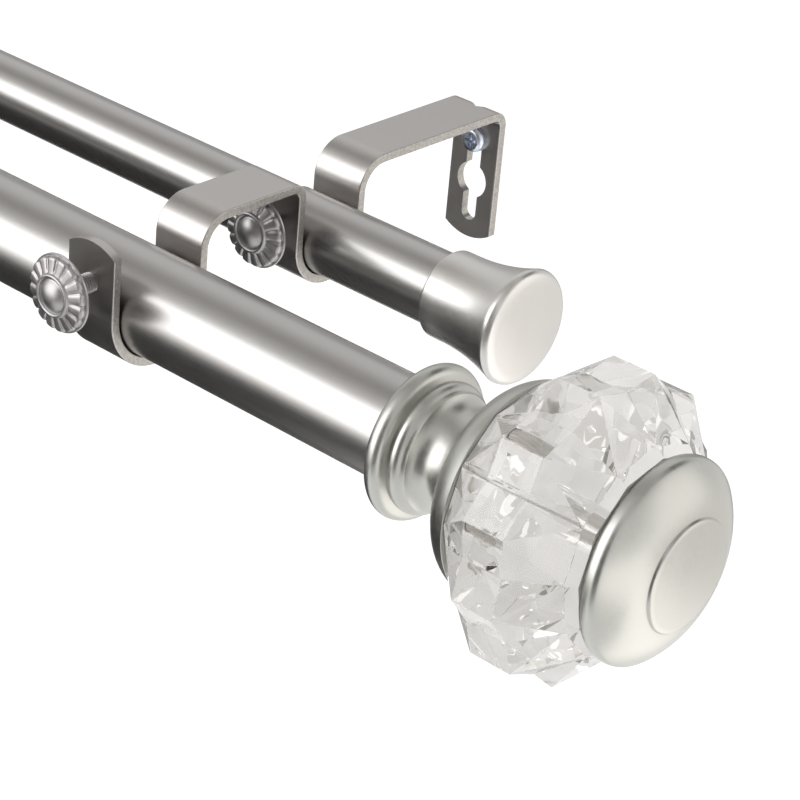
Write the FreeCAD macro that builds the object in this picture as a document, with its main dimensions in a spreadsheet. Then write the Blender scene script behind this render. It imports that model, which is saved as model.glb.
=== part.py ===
import FreeCAD, Part
import math
import os
import Sketcher

# Double curtain pole, in millimetres. +X runs along the poles, +Y points into the wall, +Z is up.
# The origin is midway between the two wall screws, on the plane of the wall.

V = FreeCAD.Vector
doc = FreeCAD.newDocument("DoubleCurtainPole")

# Driving dimensions

SIZES = [
    # Where the brackets and poles stand
    ("bracket_spacing", 500),
    ("back_pole_from_wall", 67),
    ("front_pole_from_back_pole", 59),
    ("back_pole_below_arm", 18.3),
    ("front_pole_drop", 1.0),
    # Tubes
    ("front_tube_diameter", 25.4),
    ("front_tube_wall", 0.6),
    ("back_tube_diameter", 19),
    ("back_tube_wall", 0.5),
    ("slide_clearance", 0.05),
    ("front_pole_end", 90.8),
    ("back_pole_end", 48.2),
    ("front_tube_join", 150),
    ("front_tube_overlap", 300),
    ("back_join_inside_bracket", 5),
    ("back_tube_overlap", 42),
    # Bent strap of a bracket
    ("strap_width", 16),
    ("strap_thickness", 2.4),
    ("strap_edge_round", 0.35),
    ("saddle_clearance", 0.3),
    ("arm_bend_radius", 9),
    ("tight_bend_radius", 4.5),
    ("clip_end_below_arm", 3.1),
    ("strap_end_crown", 2.5),
    ("plate_length", 36.6),
    ("dent_radius", 3),
    ("dent_depth", 1.6),
    # Double-ended keyhole and the wall screw in its upper end
    ("wall_screw_below_arm", 10.2),
    ("keyhole_diameter", 10),
    ("keyhole_below_screw", 12.2),
    ("keyhole_slot_width", 4.8),
    ("lower_slot_below_keyhole", 9.5),
    ("wall_screw_diameter", 4.2),
    ("wall_screw_head_diameter", 7.4),
    ("wall_screw_head_height", 2.4),
    ("wall_screw_head_round", 1.5),
    ("wall_screw_neck_diameter", 3.6),
    ("wall_screw_neck_end", 0.5),
    ("wall_screw_reach", 6),
    ("recess_width", 0.9),
    ("recess_span", 3.8),
    ("recess_depth", 1.4),
    # Thumbscrews
    ("thumbscrew_diameter", 5),
    ("thumbscrew_hole_clearance", 0.05),
    ("thumbscrew_tip_chamfer", 0.6),
    ("thumbscrew_tip_gap", 0.8),
    ("front_screw_standoff", 9.1),
    ("back_screw_standoff", 6),
    ("front_screw_above_pole", 8.1),
    ("back_screw_above_pole", 4.6),
    ("rosette_diameter", 19.6),
    ("rosette_flange", 0.7),
    ("petal_count", 16),
    ("petal_reach", 9.3),
    ("petal_rim_height", 1.3),
    ("petal_end_round", 0.8),
    ("petal_slope", 12),
    ("petal_groove_radius", 0.62),
    ("boss_radius", 5.5),
    ("boss_height", 2.9),
    ("ring_crest_radius", 4.9),
    ("ring_crest_height", 3.4),
    ("dome_radius", 4),
    ("dome_foot_height", 2.8),
    ("dome_height", 4.5),
    # Collar of a finial, turned about the front pole's axis, stations from its rear face
    ("socket_clearance", 0.3),
    ("collar_socket_depth", 7.5),
    ("collar_plug_length", 16),
    ("bead_height", 18.7),
    ("bead_round", 2.6),
    ("bead_crease_station", 4.9),
    ("bead_crease_height", 16.9),
    ("ring_foot_station", 5.3),
    ("ring_foot_height", 15.6),
    ("ring_end_station", 8.2),
    ("ring_end_height", 14.8),
    ("ring_round", 2.2),
    ("cove_start_station", 9.3),
    ("cove_start_height", 14.2),
    ("cove_first_round", 5.6),
    ("neck_station", 14.2),
    ("neck_height", 11.4),
    ("cove_second_round", 8.2),
    ("cup_station", 22.4),
    ("cup_height", 19),
    ("lip_foot_station", 22.9),
    ("lip_foot_height", 20.8),
    ("lip_round", 11),
    ("collar_length", 30.1),
    ("seat_radius", 25.6),
    # Crystal of a finial, stations from its seat in the collar
    ("crystal_sides", 12),
    ("crystal_turn", 11.8),
    ("crystal_seat_radius", 25.2),
    ("crystal_rear_station", 11.9),
    ("crystal_front_station", 22.7),
    ("crystal_peak_radius", 35.9),
    ("crystal_valley_radius", 33),
    ("crystal_tip_station", 32.1),
    ("crystal_tip_radius", 24.7),
    ("crystal_length", 34.5),
    ("crystal_face_radius", 22.7),
    ("crystal_bore_clearance", 0.3),
    # Hidden stud and front cap of a finial, stations from the cap's back
    ("stem_diameter", 6),
    ("stem_fit_clearance", 0.05),
    ("stem_in_collar", 8),
    ("stem_in_cap", 6),
    ("cap_back_radius", 21.9),
    ("cap_back_round", 2.6),
    ("cap_rim_start", 2.7),
    ("cap_rim_end", 2.9),
    ("cap_rim_radius", 23.8),
    ("cap_edge_round", 2.6),
    ("cap_edge_station", 4.74),
    ("cap_edge_radius", 23.04),
    ("cap_dome_round", 21.2),
    ("button_crease_station", 10.3),
    ("button_crease_radius", 13.3),
    ("button_edge_station", 11),
    ("button_edge_radius", 12.7),
    ("button_edge_round", 0.9),
    ("button_dome_round", 62.7),
    ("cap_length", 12.3),
    # Trumpet cap on the end of the back pole, stations from its open rim
    ("trumpet_socket_depth", 18),
    ("trumpet_rim_round", 0.7),
    ("trumpet_waist_radius", 11.4),
    ("trumpet_waist_station", 4),
    ("trumpet_flare_round", 52.9),
    ("trumpet_flare_station", 22.9),
    ("trumpet_flare_radius", 14.89),
    ("trumpet_edge_round", 1.2),
    ("trumpet_edge_station", 24.55),
    ("trumpet_edge_radius", 14.07),
    ("trumpet_face_round", 60.7),
    ("trumpet_length", 26.2),
]

# Sizes that follow from the driving ones

WORKED = [
    ("half_spacing", "=Sizes.bracket_spacing / 2"),
    ("arm_top", "=Sizes.wall_screw_below_arm"),
    ("back_axis_out", "=Sizes.back_pole_from_wall"),
    ("front_axis_out", "=Sizes.back_pole_from_wall + Sizes.front_pole_from_back_pole"),
    ("back_axis_y", "=-back_axis_out"),
    ("front_axis_y", "=-front_axis_out"),
    ("back_axis_up", "=arm_top - Sizes.back_pole_below_arm"),
    ("front_axis_up", "=back_axis_up - Sizes.front_pole_drop"),
    # Tubes: each inner one slides in its outer one
    ("front_tube_bore", "=Sizes.front_tube_diameter - 2 * Sizes.front_tube_wall"),
    ("front_inner_diameter", "=front_tube_bore - 2 * Sizes.slide_clearance"),
    ("front_inner_bore", "=front_inner_diameter - 2 * Sizes.front_tube_wall"),
    ("back_tube_bore", "=Sizes.back_tube_diameter - 2 * Sizes.back_tube_wall"),
    ("back_inner_diameter", "=back_tube_bore - 2 * Sizes.slide_clearance"),
    ("back_inner_bore", "=back_inner_diameter - 2 * Sizes.back_tube_wall"),
    ("collar_rear", "=half_spacing + Sizes.front_pole_end"),
    ("front_tube_tip", "=collar_rear + Sizes.collar_socket_depth - Sizes.socket_clearance"),
    ("front_outer_start", "=-Sizes.front_tube_join"),
    ("front_outer_length", "=front_tube_tip - front_outer_start"),
    ("front_inner_start", "=-front_tube_tip"),
    ("front_inner_length", "=front_outer_start + Sizes.front_tube_overlap - front_inner_start"),
    ("trumpet_rim", "=half_spacing + Sizes.back_pole_end"),
    ("back_tube_tip", "=trumpet_rim + Sizes.trumpet_socket_depth - Sizes.socket_clearance"),
    ("back_tube_join", "=half_spacing - Sizes.back_join_inside_bracket"),
    ("back_outer_length", "=back_tube_tip - back_tube_join"),
    ("back_inner_start", "=-back_tube_tip"),
    ("back_inner_length", "=back_tube_join + Sizes.back_tube_overlap - back_inner_start"),
    # Middle line of the strap, from the wall outwards
    ("half_thickness", "=Sizes.strap_thickness / 2"),
    ("half_width", "=Sizes.strap_width / 2"),
    ("plate_low", "=arm_top - Sizes.plate_length - Sizes.strap_end_crown"),
    ("plate_path_end", "=plate_low - half_thickness"),
    ("arm_middle", "=arm_top - half_thickness"),
    ("tight_middle_radius", "=Sizes.tight_bend_radius - half_thickness"),
    ("arm_middle_radius", "=Sizes.arm_bend_radius - half_thickness"),
    ("tight_bend_up", "=arm_top - Sizes.tight_bend_radius"),
    ("arm_bend_up", "=arm_top - Sizes.arm_bend_radius"),
    ("back_saddle_radius", "=Sizes.back_tube_diameter / 2 + Sizes.saddle_clearance"),
    ("front_saddle_radius", "=Sizes.front_tube_diameter / 2 + Sizes.saddle_clearance"),
    ("back_middle_radius", "=back_saddle_radius + half_thickness"),
    ("front_middle_radius", "=front_saddle_radius + half_thickness"),
    ("back_saddle_near", "=back_axis_out - back_middle_radius"),
    ("back_saddle_far", "=back_axis_out + back_middle_radius"),
    ("back_saddle_low", "=back_axis_up - back_middle_radius"),
    ("front_saddle_near", "=front_axis_out - front_middle_radius"),
    ("front_saddle_far", "=front_axis_out + front_middle_radius"),
    ("front_saddle_low", "=front_axis_up - front_middle_radius"),
    ("wall_bend_out", "=Sizes.tight_bend_radius"),
    ("back_arm_end", "=back_axis_out - back_saddle_radius - Sizes.arm_bend_radius"),
    ("front_arm_start", "=back_axis_out + back_saddle_radius + Sizes.tight_bend_radius"),
    ("front_arm_end", "=front_axis_out - front_saddle_radius - Sizes.arm_bend_radius"),
    ("clip_top", "=arm_top - Sizes.clip_end_below_arm + Sizes.strap_end_crown"),
    ("crown_radius", "=(half_width ^ 2 + Sizes.strap_end_crown ^ 2) / (2 * Sizes.strap_end_crown)"),
    ("clip_path_end", "=clip_top + half_thickness"),
    ("trim_depth", "=crown_radius + 2 * Sizes.strap_thickness"),
    ("plate_trim_low", "=plate_low - 2 * Sizes.strap_thickness"),
    ("clip_crown_centre", "=clip_top - crown_radius"),
    ("plate_crown_centre", "=plate_low + crown_radius"),
    ("keyhole_radius", "=Sizes.keyhole_diameter / 2"),
    ("slot_half_width", "=Sizes.keyhole_slot_width / 2"),
    ("slot_span", "=-lower_slot_up"),
    ("keyhole_up", "=-Sizes.keyhole_below_screw"),
    ("lower_slot_up", "=keyhole_up - Sizes.lower_slot_below_keyhole"),
    ("dent_start_out", "=tight_bend_middle_out - dent_offset - dent_run"),
    ("dent_start_up", "=tight_bend_middle_up + dent_offset - dent_run"),
    ("dent_run", "=half_width * sqrt(0.5)"),
    ("tight_bend_middle_out", "=Sizes.tight_bend_radius * (1 - sqrt(0.5))"),
    ("tight_bend_middle_up", "=arm_top - tight_bend_middle_out"),
    ("dent_offset", "=(Sizes.dent_radius - Sizes.dent_depth) * sqrt(0.5)"),
    # Screws
    ("front_clip_face", "=front_axis_out + front_saddle_radius + Sizes.strap_thickness"),
    ("back_clip_face", "=back_axis_out + back_saddle_radius + Sizes.strap_thickness"),
    ("front_screw_head", "=front_clip_face + Sizes.front_screw_standoff"),
    ("back_screw_head", "=back_clip_face + Sizes.back_screw_standoff"),
    ("front_screw_up", "=front_axis_up + Sizes.front_screw_above_pole"),
    ("back_screw_up", "=back_axis_up + Sizes.back_screw_above_pole"),
    ("thumbscrew_radius", "=Sizes.thumbscrew_diameter / 2"),
    ("thumbscrew_hole_radius", "=thumbscrew_radius + Sizes.thumbscrew_hole_clearance"),
    ("thumbscrew_end_radius", "=thumbscrew_radius - Sizes.thumbscrew_tip_chamfer"),
    ("front_clip_inside", "=front_clip_face - Sizes.strap_thickness"),
    ("back_clip_inside", "=back_clip_face - Sizes.strap_thickness"),
    ("recess_arm", "=Sizes.recess_span / 2"),
    ("recess_arm_back", "=-recess_arm"),
    ("recess_side", "=Sizes.recess_width / 2"),
    ("recess_side_back", "=-recess_side"),
    ("wall_screw_radius", "=Sizes.wall_screw_diameter / 2"),
    ("wall_screw_neck_radius", "=Sizes.wall_screw_neck_diameter / 2"),
    ("wall_screw_head_radius", "=Sizes.wall_screw_head_diameter / 2"),
    ("wall_screw_front", "=-Sizes.strap_thickness - Sizes.wall_screw_head_height"),
    ("wall_screw_shoulder", "=wall_screw_front + Sizes.wall_screw_head_round"),
    ("wall_screw_flat_radius", "=wall_screw_head_radius - Sizes.wall_screw_head_round"),
    ("wall_screw_under_head", "=-Sizes.strap_thickness"),
    # Rosette of a thumbscrew: heights count down from its rear face
    ("rosette_radius", "=Sizes.rosette_diameter / 2"),
    ("rosette_flange_face", "=-Sizes.rosette_flange"),
    ("petal_shoulder_height", "=-Sizes.petal_rim_height"),
    ("petal_front_height", "=petal_shoulder_height - Sizes.petal_end_round"),
    ("petal_front_radius", "=Sizes.petal_reach - Sizes.petal_end_round"),
    ("petal_centre_height", "=petal_front_height - petal_front_radius * tan(Sizes.petal_slope * 1deg)"),
    ("petal_inner_height", "=petal_centre_height + Sizes.boss_radius * tan(Sizes.petal_slope * 1deg)"),
    ("boss_front", "=-Sizes.boss_height"),
    ("ring_crest", "=-Sizes.ring_crest_height"),
    ("dome_foot", "=-Sizes.dome_foot_height"),
    ("dome_top", "=-Sizes.dome_height"),
    ("dome_round", "=(Sizes.dome_radius ^ 2 + dome_rise ^ 2) / (2 * dome_rise)"),
    ("dome_rise", "=Sizes.dome_height - Sizes.dome_foot_height"),
    ("boss_step", "=Sizes.ring_crest_height - Sizes.boss_height"),
    # Finials
    ("collar_plug_end", "=-Sizes.collar_plug_length"),
    ("right_collar_bore", "=Sizes.front_tube_diameter / 2 + Sizes.socket_clearance"),
    ("left_collar_bore", "=front_inner_diameter / 2 + Sizes.socket_clearance"),
    ("right_collar_plug", "=front_tube_bore / 2 - Sizes.slide_clearance"),
    ("left_collar_plug", "=front_inner_bore / 2 - Sizes.slide_clearance"),
    ("bead_foot", "=Sizes.bead_height - Sizes.bead_round"),
    ("stem_radius", "=Sizes.stem_diameter / 2"),
    ("stem_hole_radius", "=stem_radius + Sizes.stem_fit_clearance"),
    ("collar_hole_start", "=Sizes.collar_length - Sizes.stem_in_collar"),
    ("crystal_bore_radius", "=stem_radius + Sizes.crystal_bore_clearance"),
    ("stem_length", "=Sizes.stem_in_collar + Sizes.crystal_length + Sizes.stem_in_cap"),
    ("stem_offset", "=Sizes.collar_length - Sizes.stem_in_collar"),
    ("cap_offset", "=Sizes.collar_length + Sizes.crystal_length"),
    # Trumpet caps
    ("right_trumpet_bore", "=Sizes.back_tube_diameter / 2 + Sizes.socket_clearance"),
    ("left_trumpet_bore", "=back_inner_diameter / 2 + Sizes.socket_clearance"),
    ("trumpet_rim_radius", "=Sizes.trumpet_waist_radius - Sizes.trumpet_rim_round"),
]

# A thumbscrew's shank reaches from its head to just short of the tube that it clamps

for side, tubes in (("right", ("Sizes.front_tube_diameter", "Sizes.back_tube_diameter")),
                    ("left", ("front_inner_diameter", "back_inner_diameter"))):
    for pole, tube_diameter in zip(("front", "back"), tubes):
        low_edge = f"(Sizes.{pole}_screw_above_pole - thumbscrew_end_radius)"
        tip = f"(sqrt(({tube_diameter} / 2) ^ 2 - {low_edge} ^ 2) + Sizes.thumbscrew_tip_gap)"
        shank = f"{side}_{pole}_shank"
        WORKED.append((f"{shank}_length", f"={pole}_screw_head - {pole}_axis_out - {tip}"))
        WORKED.append((f"{shank}_shoulder", f"={shank}_length - Sizes.thumbscrew_tip_chamfer"))


def fill_sheet(name, rows):
    """Writes one named cell for each row of the list."""
    sheet = doc.addObject("Spreadsheet::Sheet", name)
    for number, (alias, content) in enumerate(rows, start=1):
        sheet.set(f"A{number}", alias)
        sheet.setAlias(f"B{number}", alias)
        sheet.set(f"B{number}", str(content))
    return sheet


sizes = fill_sheet("Sizes", SIZES)
worked = fill_sheet("Worked", WORKED)
doc.recompute()
HOME = {alias: "Sizes" for alias, content in SIZES}
HOME.update({alias: "Worked" for alias, content in WORKED})
SHEETS = {"Sizes": sizes, "Worked": worked}


def mm(alias):
    """The number in a named cell."""
    return float(SHEETS[HOME[alias]].get(alias))


def bind(thing, prop, alias, sign=""):
    """Ties a property of an object to a named cell."""
    thing.setExpression(prop, f"{sign}{HOME[alias]}.{alias}")


# Ways of drawing and turning that several pieces share

def on_plane(body, role, name):
    """A sketch on one of the body's own origin planes."""
    sketch = body.newObject("Sketcher::SketchObject", name)
    plane = [item for item in body.Origin.OriginFeatures if item.Role == role][0]
    sketch.AttachmentSupport = [(plane, "")]
    sketch.MapMode = "FlatFace"
    return sketch


def hold(sketch, kind, edge, end, alias):
    """Fixes one coordinate of a corner: on the axis, or at the size in a named cell."""
    if alias is None:
        axis = -2 if kind == "DistanceX" else -1
        sketch.addConstraint(Sketcher.Constraint("PointOnObject", edge, end, axis))
        return
    number = sketch.addConstraint(Sketcher.Constraint(kind, -1, 1, edge, end, mm(alias)))
    name = f"{alias}_{number}"
    sketch.renameConstraint(number, name)
    bind(sketch, f"Constraints.{name}", alias)


def outline(sketch, corners, closed=True):
    """Draws edges from corner to corner: straight, or an arc of a named radius that turns left or right."""
    points = [V(mm(c[0]) if c[0] else 0, mm(c[1]) if c[1] else 0, 0) for c in corners]
    edges = []
    last = len(corners) if closed else len(corners) - 1
    for i in range(last):
        start = points[i]
        end = points[(i + 1) % len(points)]
        if len(corners[i]) == 2:
            edge = sketch.addGeometry(Part.LineSegment(start, end))
            edges.append((edge, 1, 2))
            continue
        radius = mm(corners[i][2])
        left = corners[i][3] == "left"
        chord = end - start
        rise = math.sqrt(max(radius ** 2 - (chord.Length / 2) ** 2, 0))
        across = V(-chord.y, chord.x, 0).normalize() * (rise if left else -rise)
        centre = (start + end) * 0.5 + across
        first, second = (start, end) if left else (end, start)
        circle = Part.Circle(centre, V(0, 0, 1), radius)
        arc = Part.ArcOfCircle(circle, circle.parameter(first), circle.parameter(second))
        edge = sketch.addGeometry(arc)
        edges.append((edge, 1, 2) if left else (edge, 2, 1))
    for i, (edge, start, end) in enumerate(edges):
        if i + 1 < len(edges) or closed:
            follower = edges[(i + 1) % len(edges)]
            sketch.addConstraint(Sketcher.Constraint("Coincident", edge, end, follower[0], follower[1]))
        hold(sketch, "DistanceX", edge, start, corners[i][0])
        hold(sketch, "DistanceY", edge, start, corners[i][1])
        if len(corners[i]) == 4:
            number = sketch.addConstraint(Sketcher.Constraint("Radius", edge, mm(corners[i][2])))
            name = f"{corners[i][2]}_{number}"
            sketch.renameConstraint(number, name)
            bind(sketch, f"Constraints.{name}", corners[i][2])
    if not closed:
        edge, start, end = edges[-1]
        hold(sketch, "DistanceX", edge, end, corners[-1][0])
        hold(sketch, "DistanceY", edge, end, corners[-1][1])


def turned(body, name, corners, axis):
    """Spins an outline about the sketch's level (H_Axis) or upright (V_Axis) axis."""
    sketch = on_plane(body, "XY_Plane", f"{name}_outline")
    outline(sketch, corners)
    spin = body.newObject("PartDesign::Revolution", name)
    spin.Profile = sketch
    spin.ReferenceAxis = (sketch, [axis])
    spin.Angle = 360
    body.Tip = spin
    return spin


def at(piece, x=None, y=None, z=None, x_sign="", y_sign="", z_sign=""):
    """Ties a piece's place to named cells."""
    if x:
        bind(piece, "Placement.Base.x", x, x_sign)
    if y:
        bind(piece, "Placement.Base.y", y, y_sign)
    if z:
        bind(piece, "Placement.Base.z", z, z_sign)


def new_body(label):
    body = doc.addObject("PartDesign::Body", label)
    body.Label = label
    return body


nodes = []


def finished(piece, label):
    """Keeps a piece as a sub-part of the pole under its own label."""
    piece.Label = label
    nodes.append(piece)
    return piece


# Tubes: rolled and polished steel, each padded from a ring

def tube(label, diameter, bore, length, start, axis_y, axis_up):
    body = new_body(label)
    ring = on_plane(body, "YZ_Plane", f"{label}_ring")
    for alias in (diameter, bore):
        edge = ring.addGeometry(Part.Circle(V(0, 0, 0), V(0, 0, 1), mm(alias) / 2))
        ring.addConstraint(Sketcher.Constraint("Coincident", edge, 3, -1, 1))
        number = ring.addConstraint(Sketcher.Constraint("Diameter", edge, mm(alias)))
        ring.renameConstraint(number, alias)
        bind(ring, f"Constraints.{alias}", alias)
    pad = body.newObject("PartDesign::Pad", f"{label}_pad")
    pad.Profile = ring
    bind(pad, "Length", length)
    body.Tip = pad
    at(body, x=start, y=axis_y, z=axis_up)
    return finished(body, label)


tube("front_outer_tube", "front_tube_diameter", "front_tube_bore", "front_outer_length",
     "front_outer_start", "front_axis_y", "front_axis_up")
tube("front_inner_tube", "front_inner_diameter", "front_inner_bore", "front_inner_length",
     "front_inner_start", "front_axis_y", "front_axis_up")
tube("back_outer_tube", "back_tube_diameter", "back_tube_bore", "back_outer_length",
     "back_tube_join", "back_axis_y", "back_axis_up")
tube("back_inner_tube", "back_inner_diameter", "back_inner_bore", "back_inner_length",
     "back_inner_start", "back_axis_y", "back_axis_up")


# Brackets: one steel strap each, bent to a wall plate, an arm and two saddles.
# In a bracket's own frame x runs out from the wall, y is up and z goes across the strap.

FROM_WALL = FreeCAD.Rotation(V(0, -1, 0), V(0, 0, 1), V(-1, 0, 0), "XYZ")

STRAP_MIDDLE = [
    ("half_thickness", "plate_path_end"),
    ("half_thickness", "tight_bend_up", "tight_middle_radius", "right"),
    ("wall_bend_out", "arm_middle"),
    ("back_arm_end", "arm_middle", "arm_middle_radius", "right"),
    ("back_saddle_near", "arm_bend_up"),
    ("back_saddle_near", "back_axis_up", "back_middle_radius", "left"),
    ("back_axis_out", "back_saddle_low", "back_middle_radius", "left"),
    ("back_saddle_far", "back_axis_up"),
    ("back_saddle_far", "tight_bend_up", "tight_middle_radius", "right"),
    ("front_arm_start", "arm_middle"),
    ("front_arm_end", "arm_middle", "arm_middle_radius", "right"),
    ("front_saddle_near", "arm_bend_up"),
    ("front_saddle_near", "front_axis_up", "front_middle_radius", "left"),
    ("front_axis_out", "front_saddle_low", "front_middle_radius", "left"),
    ("front_saddle_far", "front_axis_up"),
    ("front_saddle_far", "clip_path_end"),
]


def box(name, length, width, height):
    """A block whose sides are named sizes."""
    block = doc.addObject("Part::Box", name)
    bind(block, "Length", length)
    bind(block, "Width", width)
    bind(block, "Height", height)
    return block


def rod(name, radius, length, axis):
    """A round bar along one of the axes."""
    bar = doc.addObject("Part::Cylinder", name)
    bind(bar, "Radius", radius)
    bind(bar, "Height", length)
    bar.Placement = FreeCAD.Placement(V(0, 0, 0), FreeCAD.Rotation(V(0, 0, 1), axis))
    return bar


def end_trim(side, name, out, low, crown_centre):
    """What is cut off an end of the strap, so that it finishes in a shallow arc."""
    block = box(f"{side}_{name}_block", "strap_thickness", "trim_depth", "strap_width")
    at(block, x=out, y=low, z="half_width", z_sign="-")
    disc = rod(f"{side}_{name}_disc", "crown_radius", "strap_thickness", V(1, 0, 0))
    at(disc, x=out, y=crown_centre)
    trim = doc.addObject("Part::Cut", f"{side}_{name}_trim")
    trim.Base = block
    trim.Tool = disc
    return trim


def keyhole_slot(side):
    """A round-ended slot through the wall plate, its upper end at the wall screw."""
    upper = rod(f"{side}_slot_upper_end", "slot_half_width", "strap_thickness", V(1, 0, 0))
    lower = rod(f"{side}_slot_lower_end", "slot_half_width", "strap_thickness", V(1, 0, 0))
    at(lower, y="lower_slot_up")
    middle = box(f"{side}_slot_middle", "strap_thickness", "slot_span", "keyhole_slot_width")
    at(middle, y="lower_slot_up", z="slot_half_width", z_sign="-")
    return [upper, lower, middle]


def across_strap_end(edge):
    """True for the short edges at the two ends of the strap, which stay sharp for the trim."""
    return edge.Length < mm("strap_thickness") + 0.01 and edge.Curve.TypeId == "Part::GeomLine"


def bracket(side, sign):
    middle = doc.addObject("Sketcher::SketchObject", f"{side}_strap_middle")
    outline(middle, STRAP_MIDDLE, closed=False)
    section = doc.addObject("Part::Offset2D", f"{side}_strap_section")
    section.Source = middle
    section.Mode = "Pipe"
    section.Join = "Intersection"
    section.Fill = True
    bind(section, "Value", "half_thickness")
    strap = doc.addObject("Part::Extrusion", f"{side}_strap")
    strap.Base = section
    strap.DirMode = "Custom"
    strap.Dir = V(0, 0, 1)
    strap.Solid = True
    strap.Symmetric = True
    bind(strap, "LengthFwd", "strap_width")
    doc.recompute()
    rounded = doc.addObject("Part::Fillet", f"{side}_rounded_strap")
    rounded.Base = strap
    edge_round = mm("strap_edge_round")
    rounded.Edges = [
        (number, edge_round, edge_round)
        for number, edge in enumerate(strap.Shape.Edges, start=1)
        if edge.BoundBox.ZLength < 0.001 and not across_strap_end(edge)
    ]

    keyhole = rod(f"{side}_keyhole", "keyhole_radius", "strap_thickness", V(1, 0, 0))
    at(keyhole, y="keyhole_up")
    cuts = [keyhole] + keyhole_slot(side)
    for pole in ("front", "back"):
        hole = rod(f"{side}_{pole}_screw_hole", "thumbscrew_hole_radius", "strap_thickness", V(1, 0, 0))
        at(hole, x=f"{pole}_clip_inside", y=f"{pole}_screw_up")
        cuts.append(hole)
    dent = rod(f"{side}_dent", "dent_radius", "strap_width", V(1, 1, 0))
    at(dent, x="dent_start_out", y="dent_start_up")
    cuts.append(dent)
    cuts.append(end_trim(side, "plate", None, "plate_trim_low", "plate_crown_centre"))
    cuts.append(end_trim(side, "clip", "front_clip_inside", "clip_crown_centre", "clip_crown_centre"))

    cutters = doc.addObject("Part::MultiFuse", f"{side}_bracket_cuts")
    cutters.Shapes = cuts
    shaped = doc.addObject("Part::Cut", f"{side}_bracket")
    shaped.Base = rounded
    shaped.Tool = cutters
    shaped.Placement = FreeCAD.Placement(V(0, 0, 0), FROM_WALL)
    at(shaped, x="half_spacing", x_sign=sign)
    return finished(shaped, f"{side}_bracket")


bracket("right", "")
bracket("left", "-")


# Thumbscrews: cast rosette heads on threaded shanks, one through the outer wall of each saddle

def thumbscrew(side, pole, sign):
    label = f"{side}_{pole}_thumbscrew"
    body = new_body(label)
    disc = [
        (None, None),
        ("rosette_radius", None),
        ("rosette_radius", "rosette_flange_face"),
        ("petal_reach", "rosette_flange_face"),
        ("petal_reach", "petal_shoulder_height", "petal_end_round", "right"),
        ("petal_front_radius", "petal_front_height"),
        ("boss_radius", "petal_inner_height"),
        (None, "rosette_flange_face"),
    ]
    turned(body, f"{label}_disc", disc, "V_Axis")

    groove_sketch = on_plane(body, "YZ_Plane", f"{label}_groove_section")
    tilt = FreeCAD.Rotation(V(0, 1, 0), mm("petal_slope"))
    groove_sketch.AttachmentOffset = FreeCAD.Placement(V(0, 0, 0), tilt)
    groove_sketch.setExpression("AttachmentOffset.Base.x", "Worked.petal_centre_height")
    edge = groove_sketch.addGeometry(Part.Circle(V(0, 0, 0), V(0, 0, 1), mm("petal_groove_radius")))
    groove_sketch.addConstraint(Sketcher.Constraint("Coincident", edge, 3, -1, 1))
    number = groove_sketch.addConstraint(Sketcher.Constraint("Radius", edge, mm("petal_groove_radius")))
    groove_sketch.renameConstraint(number, "petal_groove_radius")
    bind(groove_sketch, "Constraints.petal_groove_radius", "petal_groove_radius")
    groove = body.newObject("PartDesign::Pocket", f"{label}_groove")
    groove.Profile = groove_sketch
    groove.Reversed = True
    bind(groove, "Length", "rosette_diameter")
    body.Tip = groove
    doc.recompute()
    petals = body.newObject("PartDesign::PolarPattern", f"{label}_petals")
    petals.Originals = [groove]
    petals.Axis = ([item for item in body.Origin.OriginFeatures if item.Role == "Y_Axis"][0], [""])
    petals.Angle = 360
    bind(petals, "Occurrences", "petal_count")
    body.Tip = petals

    core = [
        (None, None),
        ("boss_radius", None),
        ("boss_radius", "boss_front", "boss_step", "right"),
        ("ring_crest_radius", "ring_crest"),
        ("dome_radius", "dome_foot", "dome_round", "right"),
        (None, "dome_top"),
    ]
    turned(body, f"{label}_boss", core, "V_Axis")
    shank = [
        (None, "rosette_flange_face"),
        ("thumbscrew_radius", "rosette_flange_face"),
        ("thumbscrew_radius", f"{side}_{pole}_shank_shoulder"),
        ("thumbscrew_end_radius", f"{side}_{pole}_shank_length"),
        (None, f"{side}_{pole}_shank_length"),
    ]
    turned(body, f"{label}_shank", shank, "V_Axis")
    at(body, x="half_spacing", y=f"{pole}_screw_head", z=f"{pole}_screw_up", x_sign=sign, y_sign="-")
    return finished(body, label)


for side, sign in (("right", ""), ("left", "-")):
    for pole in ("front", "back"):
        thumbscrew(side, pole, sign)


# Wall screws: zinc-plated pan heads at the top of each keyhole

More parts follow.
